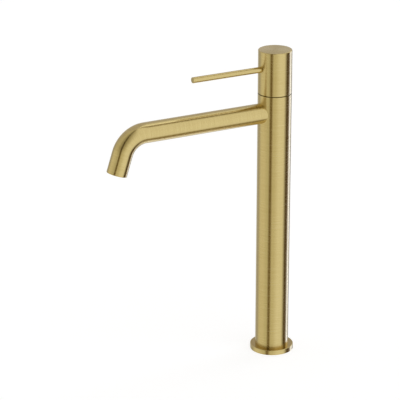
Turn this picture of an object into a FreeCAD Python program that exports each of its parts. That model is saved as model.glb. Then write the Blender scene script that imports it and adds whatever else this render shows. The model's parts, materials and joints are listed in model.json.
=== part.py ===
import FreeCAD, Part
import os
from enum import IntEnum

import Sketcher

# Tall basin mixer with a lift-and-turn lever, in millimetres.
# The axis of the column is Z, the deck is Z = 0, the spout and the lever point to -Y.

# Driving sizes, one row each: name and number.
SIZES = (
    # Column and foot
    ("column_od", 34),
    ("column_wall", 2),
    ("overall_height", 320.5),
    ("flange_ledge", 5.2),
    ("flange_thickness", 5),
    ("flange_lip", 1.5),
    ("flange_edge", 0.7),
    ("gasket_inset", 1.3),
    ("gasket_width", 3),
    ("gasket_thickness", 1.2),
    # Clearances
    ("fit_gap", 0.05),
    ("run_gap", 0.3),
    # Inlet block in the foot
    ("block_height", 25),
    ("block_wall", 1.55),
    ("inlet_bore", 9),
    ("inlet_depth", 12),
    ("stud_spacing", 20),
    ("stud_bore", 5),
    ("stud_depth", 12),
    # Riser tubes
    ("riser_web", 1.2),
    ("riser_wall", 1),
    ("riser_socket", 8),
    ("riser_ring", 1.3),
    # Spout
    ("spout_od", 20.5),
    ("spout_wall", 1.5),
    ("spout_drop", 19),
    ("spout_straight", 145),
    ("bend_radius", 25.5),
    ("bend_angle", 72),
    ("spout_end", 21),
    ("spout_rim", 0.4),
    # Aerator
    ("aerator_bite", 0.25),
    ("aerator_length", 10),
    ("aerator_wall", 1.2),
    ("aerator_recess", 0.5),
    ("aerator_lip", 1.2),
    ("key_notch", 2.2),
    ("key_notch_depth", 0.8),
    ("grille_thickness", 4),
    ("screen_thickness", 0.4),
    ("regulator_thickness", 3.2),
    ("aerator_seal_thickness", 1),
    ("jet_bore", 1.8),
    ("mesh_bore", 1.1),
    # Tilting seat of the handle
    ("pivot_depth", 10),
    ("seat_gap", 0.35),
    ("seam_height", 0.9),
    ("dome_thickness", 1.3),
    ("dome_opening", 23),
    ("dome_skirt", 1.35),
    # Cartridge, stacked down from the pivot of the spindle
    ("lift_angle", 22),
    ("foot_arm", 9),
    ("ball_od", 5),
    ("neck_od", 3.2),
    ("stem_width", 7),
    ("stem_foot", 3.5),
    ("pin_od", 2.5),
    ("carrier_rise", 2),
    ("carrier_height", 5),
    ("carrier_floor", 0.2),
    ("carrier_flat", 0.6),
    ("disc_margin", 0.35),
    ("moving_disc_thickness", 3.5),
    ("fixed_disc_thickness", 4),
    ("base_thickness", 6.5),
    ("cup_wall", 2.4),
    ("housing_wall", 1.5),
    ("housing_roof", 1.8),
    ("housing_rise", 5),
    ("collar_rise", 0.5),
    ("nut_wall", 1.9),
    ("nut_width", 3),
    ("nut_clearance", 1.4),
    ("nut_height", 4.5),
    ("nut_slot", 3),
    ("nut_slot_depth", 2.2),
    # Water ways
    ("hot_cold_port_x", 3.4),
    ("hot_cold_port_y", 3.6),
    ("hot_cold_port_bore", 3.2),
    ("outlet_port_y", 2.6),
    ("outlet_port_bore", 4.6),
    ("outlet_cross_bore", 5.4),
    ("port_ring", 0.9),
    ("mixing_recess_width", 5.6),
    ("mixing_recess_length", 2.7),
    ("mixing_recess_depth", 1.6),
    # Valve body
    ("valve_floor", 20),
    ("valve_land", 11),
    ("water_gap", 1),
    ("ring_land", 1),
    ("valve_ring", 1.2),
    # Handle
    ("cap_height", 45.2),
    ("cap_wall", 2.5),
    ("cap_roof", 4),
    ("cap_edge", 0.8),
    ("cap_bevel", 0.4),
    ("hub_od", 16),
    ("hub_clearance", 1.3),
    ("lever_rise", 26.3),
    ("lever_od", 6),
    ("lever_reach", 92.8),
    ("lever_tip", 0.5),
    ("lever_seat", 5),
    ("lever_boss_od", 11),
    ("lever_thread", 4.2),
    ("lever_spigot", 3.8),
    ("spindle_grip", 6.5),
    ("hex_key", 2.5),
    ("hex_depth", 2),
)

# Sizes that follow from the ones above.
DERIVED = (
    ("column_radius", "=column_od / 2"),
    ("bore_radius", "=column_od / 2 - column_wall"),
    ("column_height", "=overall_height - cap_height"),
    ("flange_od", "=column_od + 2 * flange_ledge"),
    ("gasket_od", "=flange_od - 2 * gasket_inset"),
    ("pivot_z", "=column_height - pivot_depth"),
    ("dome_radius", "=sqrt(column_radius^2 + pivot_depth^2)"),
    ("seat_radius", "=dome_radius + seat_gap"),
    ("column_top", "=pivot_z + sqrt(dome_radius^2 - bore_radius^2)"),
    ("spout_z", "=column_height - spout_drop"),
    ("lever_z", "=column_height + lever_rise"),
    # What the bore of the column leaves for the riser tubes and the cartridge
    ("valve_radius", "=bore_radius - fit_gap"),
    ("riser_groove", "=riser_ring + 2 * fit_gap"),
    ("riser_od", "=valve_radius - block_wall - riser_web / 2 - 2 * riser_groove"),
    ("inlet_spacing", "=riser_od + 2 * riser_groove + riser_web"),
    ("cartridge_od", "=2 * (valve_radius - cup_wall - fit_gap)"),
    ("nut_od", "=2 * (valve_radius - nut_wall - fit_gap)"),
    ("nut_bore", "=nut_od - 2 * nut_width"),
    ("turret_collar_od", "=nut_bore - 2 * nut_clearance"),
    ("housing_bore", "=cartridge_od / 2 - housing_wall"),
    ("disc_travel", "=foot_arm * lift_angle * pi / 180"),
    ("moving_disc_od", "=2 * (housing_bore - disc_travel - disc_margin)"),
    ("carrier_width", "=moving_disc_od - 2 * carrier_flat"),
    # Cartridge levels, from the pivot down to the floor of the valve body
    ("carrier_z", "=pivot_z - foot_arm + carrier_rise - carrier_height"),
    ("moving_disc_z", "=carrier_z - moving_disc_thickness"),
    ("fixed_disc_z", "=moving_disc_z - fit_gap - fixed_disc_thickness"),
    ("floor_z", "=fixed_disc_z - base_thickness"),
    ("housing_height", "=pivot_z + housing_rise - floor_z"),
    ("turret_z", "=carrier_z + run_gap"),
    ("turret_radius", "=housing_bore - run_gap"),
    ("turret_height", "=pivot_z + housing_rise - housing_roof - run_gap - turret_z"),
    ("slot_half", "=stem_width / 2 + run_gap"),
    ("slot_middle", "=stem_width / 2 / cos(lift_angle * 1deg) + run_gap"),
    ("slot_top", "=housing_rise + collar_rise + run_gap"),
    ("slot_lean", "=slot_middle + slot_top * tan(lift_angle * 1deg)"),
    ("slot_foot", "=slot_middle + stem_foot * tan(lift_angle * 1deg)"),
    # Valve body levels
    ("valve_z", "=floor_z - valve_floor"),
    ("valve_top", "=pivot_z + housing_rise + nut_height + run_gap"),
    ("water_top", "=spout_z + spout_od / 2"),
    ("ring_groove", "=valve_ring + 4 * fit_gap"),
    # Dome ring
    ("dome_outer", "=bore_radius - 2 * fit_gap"),
    ("dome_outer_z", "=pivot_z + sqrt(dome_radius^2 - dome_outer^2)"),
    ("dome_mouth", "=dome_opening / 2"),
    ("dome_lip_z", "=pivot_z + sqrt(dome_radius^2 - dome_mouth^2)"),
    ("dome_under", "=dome_radius - dome_thickness"),
    ("dome_inner", "=dome_outer - dome_skirt"),
    ("dome_inner_z", "=pivot_z + sqrt(dome_under^2 - dome_inner^2)"),
    ("dome_lip_under_z", "=pivot_z + sqrt(dome_under^2 - dome_mouth^2)"),
    # Handle cap
    ("rim_z", "=column_height + seam_height"),
    ("rim_radius", "=sqrt(seat_radius^2 - (rim_z - pivot_z)^2)"),
    ("cap_bore", "=column_radius - cap_wall"),
    ("cap_bore_z", "=pivot_z + sqrt(seat_radius^2 - cap_bore^2)"),
    ("bevel_z", "=rim_z + cap_bevel"),
    ("cavity_z", "=overall_height - cap_roof"),
    ("hub_radius", "=hub_od / 2"),
    ("hub_z", "=pivot_z + seat_radius + hub_clearance"),
    ("spindle_top", "=lever_z + spindle_grip"),
    ("lever_shoulder", "=column_radius - lever_seat"),
    ("lever_root", "=lever_shoulder - lever_spigot"),
    # Outlet end of the spout
    ("bend_y", "=spout_straight + bend_radius * sin(bend_angle * 1deg)"),
    ("bend_z", "=spout_z - bend_radius * (1 - cos(bend_angle * 1deg))"),
    ("tip_y", "=bend_y + spout_end * cos(bend_angle * 1deg)"),
    ("tip_z", "=bend_z - spout_end * sin(bend_angle * 1deg)"),
    ("aerator_od", "=spout_od - 2 * (spout_wall - aerator_bite)"),
    ("aerator_pocket", "=aerator_recess + aerator_length + aerator_seal_thickness"),
    ("insert_radius", "=aerator_od / 2 - aerator_wall - fit_gap"),
    ("grille_z", "=aerator_recess + aerator_lip"),
    ("screen_z", "=grille_z + grille_thickness + fit_gap"),
    ("regulator_z", "=screen_z + screen_thickness + fit_gap"),
    ("aerator_seal_z", "=aerator_recess + aerator_length"),
)

FULL_TURN = 360
QUARTER_TURN = 90
OUTLET_LEAN = FreeCAD.Vector(-1, 0, 0)

# Where a sketch starts before its expressions move it.
GUESS_CENTRE = 20
GUESS_RADIUS = 10


class Axis(IntEnum):
    """A sketch's own numbers for its axes; the first one's start point is the origin."""

    H = -1
    V = -2


class At(IntEnum):
    """A sketch's own numbers for the points of a line, an arc or a circle."""

    START = 1
    END = 2
    CENTRE = 3


# Counts of notches round a ring.
NUT_NOTCHES = 4
KEY_NOTCHES = 6

# Rings of holes in the outlet plates: count and place as a share of the plate's radius.
JET_RINGS = ((6, 0.4), (12, 0.76))
MESH_RINGS = ((6, 0.3), (12, 0.58), (18, 0.82))

# Ports of the cartridge: name, x, y and bore.
PORTS = (
    ("cold", "dim.hot_cold_port_x", "-dim.hot_cold_port_y", "dim.hot_cold_port_bore"),
    ("hot", "-dim.hot_cold_port_x", "-dim.hot_cold_port_y", "dim.hot_cold_port_bore"),
    ("outlet", "0", "dim.outlet_port_y", "dim.outlet_port_bore"),
)

doc = FreeCAD.newDocument("basin_mixer")
dim = doc.addObject("Spreadsheet::Sheet", "dim")


def fill_sheet():
    """Write every size into its own aliased cell."""
    for row, (name, content) in enumerate(SIZES + DERIVED, start=1):
        dim.set(f"A{row}", name)
        dim.set(f"B{row}", str(content))
        dim.setAlias(f"B{row}", name)
    doc.recompute()


fill_sheet()


def new_body(label):
    """Start one sub-part."""
    body = doc.addObject("PartDesign::Body", label)
    body.Label = label
    return body


def origin_item(body, role):
    """Plane or axis of a body's own origin."""
    return next(item for item in body.Origin.OriginFeatures if item.Role == role)


def new_sketch(body, name, role="XZ_Plane", offset=None):
    """Sketch on one of the body's own planes, moved along its normal by an expression."""
    sketch = body.newObject("Sketcher::SketchObject", name)
    sketch.AttachmentSupport = [(origin_item(body, role), "")]
    sketch.MapMode = "FlatFace"
    if offset:
        sketch.setExpression("AttachmentOffset.Base.z", offset)
    return sketch


def pin_point(sketch, geometry, vertex, place):
    """Tie one sketch point to the origin by two expressions."""
    point = sketch.getPoint(geometry, vertex)
    for kind, axis, now, expression in zip(("DistanceX", "DistanceY"), (Axis.V, Axis.H), point, place):
        if expression == "0":
            sketch.addConstraint(Sketcher.Constraint("PointOnObject", geometry, vertex, axis))
            continue
        rule = Sketcher.Constraint(kind, Axis.H, At.START, geometry, vertex, now)
        index = sketch.addConstraint(rule)
        sketch.setExpression(f"Constraints[{index}]", expression)


def outline(sketch, points, arcs=()):
    """Closed outline through corner points; the sides listed in arcs are centred on the vertical axis.

    Each corner is a pair of expressions. Where an outline has arcs, the corners start from the sheet's
    present numbers, so that the arcs bulge the right way.
    """
    count = len(points)
    if arcs:
        corners = [FreeCAD.Vector(*(present(term) for term in point), 0) for point in points]
    else:
        turn = FreeCAD.Rotation(FreeCAD.Vector(0, 0, 1), FULL_TURN / count)
        arm = FreeCAD.Vector(GUESS_RADIUS, 0, 0)
        corners = []
        for _ in points:
            corners.append(FreeCAD.Vector(GUESS_CENTRE, GUESS_CENTRE, 0) + arm)
            arm = turn.multVec(arm)
    first = sketch.GeometryCount
    for index in range(count):
        start = corners[index]
        end = corners[(index + 1) % count]
        sketch.addGeometry(dome_arc(start, end) if index in arcs else Part.LineSegment(start, end))
    ends = [end_points(sketch.Geometry[first + index], corners[index]) for index in range(count)]
    for index in range(count):
        following = (index + 1) % count
        sketch.addConstraint(Sketcher.Constraint(
            "Coincident", first + index, ends[index][1], first + following, ends[following][0]))
    for index, point in enumerate(points):
        pin_point(sketch, first + index, ends[index][0], point)
    for index in arcs:
        sketch.addConstraint(Sketcher.Constraint("PointOnObject", first + index, At.CENTRE, Axis.V))


def present(expression):
    """Number that the sheet holds now for an expression that is one size's name or zero."""
    return float(getattr(dim, expression.split(".")[-1])) if expression != "0" else 0.0


def dome_arc(start, end):
    """Anticlockwise arc between two points with its centre on the vertical axis."""
    squares = (end.x ** 2 + end.y ** 2) - (start.x ** 2 + start.y ** 2)
    centre = FreeCAD.Vector(0, squares / (2 * (end.y - start.y)), 0)
    middle = (start + end) / 2 - centre
    middle.normalize()
    through = centre + middle * (start - centre).Length
    clockwise = (start - centre).cross(end - centre).z < 0
    return Part.Arc(end, through, start) if clockwise else Part.Arc(start, through, end)


def end_points(side, start):
    """Point numbers of a side's first and last point along the outline."""
    forward = (side.StartPoint - start).Length < (side.EndPoint - start).Length
    return (At.START, At.END) if forward else (At.END, At.START)


def circle(sketch, x, y, radius):
    """Circle whose centre and radius follow expressions."""
    centre = FreeCAD.Vector(GUESS_CENTRE, GUESS_CENTRE, 0)
    geometry = sketch.addGeometry(Part.Circle(centre, FreeCAD.Vector(0, 0, 1), GUESS_RADIUS))
    pin_point(sketch, geometry, At.CENTRE, (x, y))
    index = sketch.addConstraint(Sketcher.Constraint("Radius", geometry, GUESS_RADIUS))
    sketch.setExpression(f"Constraints[{index}]", radius)


def revolve(body, sketch, name, kind="PartDesign::Revolution"):
    """Turn a profile about the vertical axis of its sketch."""
    feature = body.newObject(kind, name)
    feature.Profile = sketch
    feature.ReferenceAxis = (sketch, ["V_Axis"])
    feature.Angle = FULL_TURN
    return feature


def extrude(body, sketch, name, length, kind="PartDesign::Pad", back=False, both=False):
    """Pad or pocket a sketch by an expression, along its normal unless back is set."""
    feature = body.newObject(kind, name)
    feature.Profile = sketch
    feature.setExpression("Length", length)
    feature.Midplane = both
    feature.Reversed = back if kind == "PartDesign::Pad" else not back
    return feature


def pocket(body, sketch, name, length, back=False, both=False):
    """Cut a sketch along its normal unless back is set, and make sure that it removes material."""
    doc.recompute()
    before = body.Shape.Volume
    feature = extrude(body, sketch, name, length, "PartDesign::Pocket", back, both)
    doc.recompute()
    if not feature.Shape.Volume < before:
        raise RuntimeError(f"{name} removes nothing")
    return feature


def polar(body, feature, sketch, name, count):
    """Repeat a feature round the normal of its sketch."""
    pattern = body.newObject("PartDesign::PolarPattern", name)
    pattern.Originals = [feature]
    pattern.Axis = (sketch, ["N_Axis"])
    pattern.Angle = FULL_TURN
    pattern.Occurrences = count
    body.Tip = pattern
    return pattern


def soften(body, feature, name, radius, chosen, kind="PartDesign::Fillet"):
    """Round or bevel the edges of a feature that pass a test."""
    doc.recompute()
    names = [f"Edge{i}" for i, edge in enumerate(feature.Shape.Edges, start=1) if chosen(edge)]
    rounding = body.newObject(kind, name)
    rounding.Base = (feature, names)
    rounding.setExpression("Radius" if kind == "PartDesign::Fillet" else "Size", radius)
    return rounding


def turned(label, points, height="0", arcs=()):
    """Sub-part made on a lathe: one profile about Z, set at a height."""
    body = new_body(label)
    sketch = new_sketch(body, label + "_profile")
    outline(sketch, points, arcs)
    revolve(body, sketch, label + "_turned")
    if height != "0":
        body.setExpression("Placement.Base.z", height)
    return body


def ring_profile(inner, outer, low, high):
    """Corners of a rectangular ring section."""
    return ((inner, low), (outer, low), (outer, high), (inner, high))


def o_ring(name, mean_radius, thickness, x, y, z):
    """One rubber ring lying flat."""
    ring = doc.addObject("Part::Torus", name)
    ring.setExpression("Radius1", mean_radius)
    ring.setExpression("Radius2", f"{thickness} / 2")
    for letter, place in zip("xyz", (x, y, z)):
        if place != "0":
            ring.setExpression(f"Placement.Base.{letter}", place)
    return ring


def group(label, members):
    """Several like solids kept as one sub-part."""
    compound = doc.addObject("Part::Compound", label)
    compound.Label = label
    compound.Links = members
    return compound


def column_tube():
    """Column with a domed top end and the hole for the spout."""
    body = turned("column_tube", (
        ("dim.bore_radius", "dim.flange_lip"),
        ("dim.column_radius", "dim.flange_lip"),
        ("dim.column_radius", "dim.column_height"),
        ("dim.bore_radius", "dim.column_top"),
    ), arcs=(2,))
    hole = new_sketch(body, "spout_hole")
    circle(hole, "0", "dim.spout_z", "dim.spout_od / 2 + dim.fit_gap")
    pocket(body, hole, "spout_hole_cut", "dim.column_od")
    return body


def base_flange():
    """Foot ring: the column stands on its inner lip, the gasket lies in its underside."""
    gasket_outer = "dim.gasket_od / 2 + dim.fit_gap"
    gasket_inner = "dim.gasket_od / 2 - dim.gasket_width - dim.fit_gap"
    lip = "dim.bore_radius + dim.fit_gap"
    seat = "dim.column_radius + dim.fit_gap"
    rim = "dim.flange_od / 2"
    body = turned("base_flange", (
        (lip, "0"),
        (gasket_inner, "0"),
        (gasket_inner, "dim.gasket_thickness"),
        (gasket_outer, "dim.gasket_thickness"),
        (gasket_outer, "0"),
        (rim, "0"),
        (rim, "dim.flange_thickness"),
        (seat, "dim.flange_thickness"),
        (seat, "dim.flange_lip"),
        (lip, "dim.flange_lip"),
    ))

    def upper_rim(edge):
        ring = isinstance(edge.Curve, Part.Circle)
        high = edge.BoundBox.ZMin > present("dim.flange_lip")
        return ring and high and edge.Curve.Radius > present("dim.gasket_od") / 2

    soften(body, body.Tip, "flange_rounding", "dim.flange_edge", upper_rim)
    return body


def base_gasket():
    """Rubber ring between the flange and the deck."""
    return turned("base_gasket", ring_profile(
        "dim.gasket_od / 2 - dim.gasket_width", "dim.gasket_od / 2", "0", "dim.gasket_thickness"))


def base_block():
    """Brass plug in the foot with two hose inlets, two stud holes and the sockets of the riser tubes."""
    body = new_body("base_block")
    disc = new_sketch(body, "block_outline", "XY_Plane")
    circle(disc, "0", "0", "dim.valve_radius")
    extrude(body, disc, "block", "dim.block_height")
    sides = ("dim.inlet_spacing / 2", "-dim.inlet_spacing / 2")
    inlets = new_sketch(body, "inlet_bores", "XY_Plane")
    for side in sides:
        circle(inlets, side, "0", "dim.inlet_bore / 2")
    pocket(body, inlets, "inlets", "dim.inlet_depth")
    ways = new_sketch(body, "water_ways", "XY_Plane")
    for side in sides:
        circle(ways, side, "0", "dim.riser_od / 2 - dim.riser_wall")
    pocket(body, ways, "through_ways", "dim.block_height")
    sockets = new_sketch(body, "riser_sockets", "XY_Plane", "dim.block_height")
    for side in sides:
        circle(sockets, side, "0", "dim.riser_od / 2 + dim.fit_gap")
    pocket(body, sockets, "riser_seats", "dim.riser_socket", back=True)
    grooves = new_sketch(body, "ring_grooves", "XY_Plane", "dim.block_height - dim.riser_socket / 2")
    for side in sides:
        circle(grooves, side, "0", "dim.riser_od / 2 + dim.riser_groove")
    pocket(body, grooves, "ring_seats", "dim.riser_groove", both=True)
    studs = new_sketch(body, "stud_bores", "XY_Plane")
    for side in ("dim.stud_spacing / 2", "-dim.stud_spacing / 2"):
        circle(studs, "0", side, "dim.stud_bore / 2")
    pocket(body, studs, "stud_holes", "dim.stud_depth")
    return body


def riser_tube(label, side):
    """Rigid tube from a socket of the block up to a socket of the valve body."""
    body = new_body(label)
    section = new_sketch(body, label + "_section", "XY_Plane")
    circle(section, "0", "0", "dim.riser_od / 2")
    circle(section, "0", "0", "dim.riser_od / 2 - dim.riser_wall")
    bottom = "dim.block_height - dim.riser_socket + dim.fit_gap"
    extrude(body, section, label + "_length", f"dim.valve_z + dim.riser_socket - dim.fit_gap - ({bottom})")
    body.setExpression("Placement.Base.x", f"{side} * dim.inlet_spacing / 2")
    body.setExpression("Placement.Base.z", bottom)
    return body


def riser_seals():
    """Rings that seal both ends of both riser tubes."""
    levels = (
        ("low", "dim.block_height - dim.riser_socket / 2"),
        ("high", "dim.valve_z + dim.riser_socket / 2"),
    )
    mean = "dim.riser_od / 2 + dim.fit_gap + dim.riser_ring / 2"
    rings = []
    for side_name, sign in (("cold", "1"), ("hot", "-1")):
        for level_name, level in levels:
            rings.append(o_ring(f"{side_name}_{level_name}_ring", mean, "dim.riser_ring",
                                f"{sign} * dim.inlet_spacing / 2", "0", level))
    return group("riser_seals", rings)


def valve_body():
    """Brass body in the head of the column: cartridge cup, water chamber and two sealing lands."""
    low = "dim.valve_z"
    land = "dim.valve_z + dim.valve_land"
    ring_low = "dim.valve_z + dim.riser_socket"
    ring_high = "dim.valve_z + dim.riser_socket + dim.ring_groove"
    top_ring_low = "dim.water_top + dim.ring_land"
    top_ring_high = "dim.water_top + dim.ring_land + dim.ring_groove"
    groove = "dim.bore_radius - dim.valve_ring - 2 * dim.fit_gap"
    chamber = "dim.bore_radius - dim.water_gap"
    cup = "dim.cartridge_od / 2 + dim.fit_gap"
    thread = "dim.nut_od / 2 + dim.fit_gap"
    thread_low = "dim.pivot_z + dim.housing_rise - dim.run_gap"
    body = turned("valve_body", (
        ("0", low),
        ("dim.valve_radius", low),
        ("dim.valve_radius", ring_low),
        (groove, ring_low),
        (groove, ring_high),
        ("dim.valve_radius", ring_high),
        ("dim.valve_radius", land),
        (chamber, land),
        (chamber, "dim.water_top"),
        ("dim.valve_radius", "dim.water_top"),
        ("dim.valve_radius", top_ring_low),
        (groove, top_ring_low),
        (groove, top_ring_high),
        ("dim.valve_radius", top_ring_high),
        ("dim.valve_radius", "dim.valve_top"),
        (thread, "dim.valve_top"),
        (thread, thread_low),
        (cup, thread_low),
        (cup, "dim.floor_z"),
        ("0", "dim.floor_z"),
    ))
    sides = ("dim.inlet_spacing / 2", "-dim.inlet_spacing / 2")
    sockets = new_sketch(body, "valve_sockets", "XY_Plane", low)
    for side in sides:
        circle(sockets, side, "0", "dim.riser_od / 2 + dim.fit_gap")
    pocket(body, sockets, "valve_socket_cut", "dim.riser_socket")
    grooves = new_sketch(body, "valve_ring_grooves", "XY_Plane", "dim.valve_z + dim.riser_socket / 2")
    for side in sides:
        circle(grooves, side, "0", "dim.riser_od / 2 + dim.riser_groove")
    pocket(body, grooves, "valve_ring_cut", "dim.riser_groove", both=True)
    feeds = new_sketch(body, "feed_ways", "XY_Plane", "dim.floor_z")
    for side in ("dim.hot_cold_port_x", "-dim.hot_cold_port_x"):
        circle(feeds, side, "-dim.hot_cold_port_y", "dim.hot_cold_port_bore / 2")
    depth = "dim.valve_floor - dim.riser_socket + dim.hot_cold_port_bore / 2"
    pocket(body, feeds, "feed_way_cut", depth, back=True)
    drain = new_sketch(body, "outlet_way", "XY_Plane", "dim.floor_z")
    circle(drain, "0", "dim.outlet_port_y", "dim.outlet_port_bore / 2")
    pocket(body, drain, "outlet_way_cut", "dim.outlet_cross_bore", back=True)
    cross = new_sketch(body, "outlet_cross_way")
    circle(cross, "0", "dim.floor_z - dim.outlet_cross_bore", "dim.outlet_cross_bore / 2")
    pocket(body, cross, "outlet_cross_cut", "dim.column_od", back=True)
    return body


def valve_seals():
    """Rings that close the water chamber above and below."""
    mean = "dim.bore_radius - dim.fit_gap - dim.valve_ring / 2"
    low = o_ring("lower_valve_ring", mean, "dim.valve_ring", "0", "0",
                 "dim.valve_z + dim.riser_socket + dim.ring_groove / 2")
    high = o_ring("upper_valve_ring", mean, "dim.valve_ring", "0", "0",
                  "dim.water_top + dim.ring_land + dim.ring_groove / 2")
    return group("valve_seals", [low, high])


def spout_tube():
    """Bent spout, coped to the bore of the column and counterbored for the aerator."""
    body = new_body("spout_tube")
    path = new_sketch(body, "spout_path", "YZ_Plane")
    spout_line(path)
    section = new_sketch(body, "spout_section")
    circle(section, "0", "dim.spout_z", "dim.spout_od / 2")
    circle(section, "0", "dim.spout_z", "dim.spout_od / 2 - dim.spout_wall")
    pipe = body.newObject("PartDesign::AdditivePipe", "spout_sweep")
    pipe.Profile = section
    pipe.Spine = (path, ["Edge1", "Edge2", "Edge3"])
    cope = new_sketch(body, "column_cope", "XY_Plane", "dim.spout_z")
    circle(cope, "0", "0", "dim.bore_radius")
    pocket(body, cope, "column_cope_cut", "dim.spout_od * 2", both=True)
    mouth = new_sketch(body, "aerator_mouth", "XY_Plane")
    mouth.AttachmentOffset = outlet_start()
    follow_outlet(mouth, "AttachmentOffset")
    circle(mouth, "0", "0", "dim.aerator_od / 2 + dim.fit_gap")
    bore = pocket(body, mouth, "aerator_bore", "dim.aerator_pocket")
    tip = FreeCAD.Vector(0, -present("dim.tip_y"), present("dim.tip_z"))

    def outlet_rim(edge):
        ring = isinstance(edge.Curve, Part.Circle)
        return ring and (edge.Curve.Center - tip).Length < present("dim.fit_gap")

    soften(body, bore, "spout_rim_rounding", "dim.spout_rim", outlet_rim)
    return body


def outlet_start():
    """Placement that leans the way the outlet does, before its expressions are set."""
    return FreeCAD.Placement(FreeCAD.Vector(), FreeCAD.Rotation(OUTLET_LEAN, QUARTER_TURN))


def follow_outlet(item, name):
    """Set a placement square on the outlet, its Z axis pointing back into the spout."""
    item.setExpression(f"{name}.Base.y", "-dim.tip_y")
    item.setExpression(f"{name}.Base.z", "dim.tip_z")
    item.setExpression(f"{name}.Rotation.Angle", f"{QUARTER_TURN} - dim.bend_angle")


def seat_in_outlet(body):
    """Place a sub-part of the aerator, drawn from the rim of the outlet inwards."""
    body.Placement = outlet_start()
    follow_outlet(body, "Placement")
    return body


def spout_line(path):
    """Centre line of the spout: straight run, bend and straight end."""
    start = FreeCAD.Vector(0, present("dim.spout_z"), 0)
    run = -present("dim.spout_straight")
    radius = present("dim.bend_radius")
    bend_start = FreeCAD.Vector(run, start.y, 0)
    centre = FreeCAD.Vector(run, start.y - radius, 0)
    spin = FreeCAD.Rotation(FreeCAD.Vector(0, 0, 1), present("dim.bend_angle"))
    half_spin = FreeCAD.Rotation(FreeCAD.Vector(0, 0, 1), present("dim.bend_angle") / 2)
    arm = bend_start - centre
    bend_end = centre + spin.multVec(arm)
    tip = bend_end + spin.multVec(FreeCAD.Vector(-present("dim.spout_end"), 0, 0))
    path.addGeometry(Part.LineSegment(start, bend_start))
    path.addGeometry(Part.Arc(bend_start, centre + half_spin.multVec(arm), bend_end))
    path.addGeometry(Part.LineSegment(bend_end, tip))
    straight, bend, end = range(path.GeometryCount)
    path.addConstraint(Sketcher.Constraint("PointOnObject", straight, At.START, Axis.V))
    path.addConstraint(Sketcher.Constraint("Horizontal", straight))
    path.addConstraint(Sketcher.Constraint("Tangent", straight, At.END, bend, At.START))
    path.addConstraint(Sketcher.Constraint("Tangent", bend, At.END, end, At.START))
    sizes = (
        (Sketcher.Constraint("DistanceY", Axis.H, At.START, straight, At.START, start.y), "dim.spout_z"),
        (Sketcher.Constraint("Distance", straight, -run), "dim.spout_straight"),
        (Sketcher.Constraint("Radius", bend, radius), "dim.bend_radius"),
        (Sketcher.Constraint("Distance", end, present("dim.spout_end")), "dim.spout_end"),
        (Sketcher.Constraint("DistanceY", end, At.END, Axis.H, At.START, -tip.y), "-dim.tip_z"),
    )
    for rule, expression in sizes:
        path.setExpression(f"Constraints[{path.addConstraint(rule)}]", expression)


def aerator_housing():
    """Threaded sleeve that holds the aerator in the spout, with notches for a key in its rim."""
    outer = "dim.aerator_od / 2"
    inner = "dim.aerator_od / 2 - dim.aerator_wall"
    lip = "dim.aerator_od / 2 - dim.aerator_wall - dim.aerator_lip"
    body = turned("aerator_housing", (
        (lip, "dim.aerator_recess"),
        (outer, "dim.aerator_recess"),
        (outer, "dim.aerator_seal_z"),
        (inner, "dim.aerator_seal_z"),
        (inner, "dim.grille_z"),
        (lip, "dim.grille_z"),
    ))
    notch = new_sketch(body, "key_notch_section", "XY_Plane", "dim.aerator_recess")
    half = "dim.key_notch / 2"
    outline(notch, ring_profile("-" + half, half, lip + " - dim.key_notch", inner))
    cut = pocket(body, notch, "key_notch_cut", "dim.key_notch_depth")
    polar(body, cut, notch, "key_notches", KEY_NOTCHES)
    return seat_in_outlet(body)


def perforated(label, level, thickness, bore, rings):
    """Round plate of the aerator with rings of holes, each given by its count and place."""
    body = new_body(label)
    plate = new_sketch(body, label + "_plate", "XY_Plane", level)
    circle(plate, "0", "0", "dim.insert_radius")
    extrude(body, plate, label + "_pad", thickness)
    for order, (count, place) in enumerate(rings, start=1):
        hole = new_sketch(body, f"{label}_hole_{order}", "XY_Plane", level)
        circle(hole, f"dim.insert_radius * {place}", "0", f"{bore} / 2")
        cut = pocket(body, hole, f"{label}_cut_{order}", thickness)
        polar(body, cut, hole, f"{label}_ring_{order}", count)
    return seat_in_outlet(body)


def aerator_seal():
    """Rubber washer between the sleeve and the shoulder in the spout."""
    top = "dim.aerator_seal_z + dim.aerator_seal_thickness"
    return seat_in_outlet(turned("aerator_seal", ring_profile(
        "dim.insert_radius - dim.aerator_lip", "dim.aerator_od / 2", "dim.aerator_seal_z", top)))


def cartridge_housing():
    """Plastic cup of the cartridge, open below, with a round mouth for the turret."""
    outer = "dim.cartridge_od / 2"
    mouth = "dim.turret_collar_od / 2 + 2 * dim.fit_gap"
    roof = "dim.housing_height - dim.housing_roof"
    return turned("cartridge_housing", (
        ("dim.housing_bore", "0"),
        (outer, "0"),
        (outer, "dim.housing_height"),
        (mouth, "dim.housing_height"),
        (mouth, roof),
        ("dim.housing_bore", roof),
    ), "dim.floor_z")


def ported_disc(label, thickness, height):
    """Round plate in the cartridge with the three water ports."""
    body = new_body(label)
    disc = new_sketch(body, label + "_disc", "XY_Plane")
    circle(disc, "0", "0", "dim.housing_bore - dim.fit_gap")
    extrude(body, disc, label + "_pad", thickness)
    ports = new_sketch(body, label + "_ports", "XY_Plane")
    for _, x, y, bore in PORTS:
        circle(ports, x, y, f"{bore} / 2")
    pocket(body, ports, label + "_port_cut", thickness)
    body.setExpression("Placement.Base.z", height)
    return body


def cartridge_base():
    """Foot plate of the cartridge, with a seat for a seal round each port."""
    body = ported_disc("cartridge_base", "dim.base_thickness", "dim.floor_z")
    seats = new_sketch(body, "port_seal_seats", "XY_Plane")
    for _, x, y, bore in PORTS:
        circle(seats, x, y, f"{bore} / 2 + dim.port_ring + 2 * dim.fit_gap")
    pocket(body, seats, "port_seal_cut", "dim.port_ring + dim.fit_gap")
    return body


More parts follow.
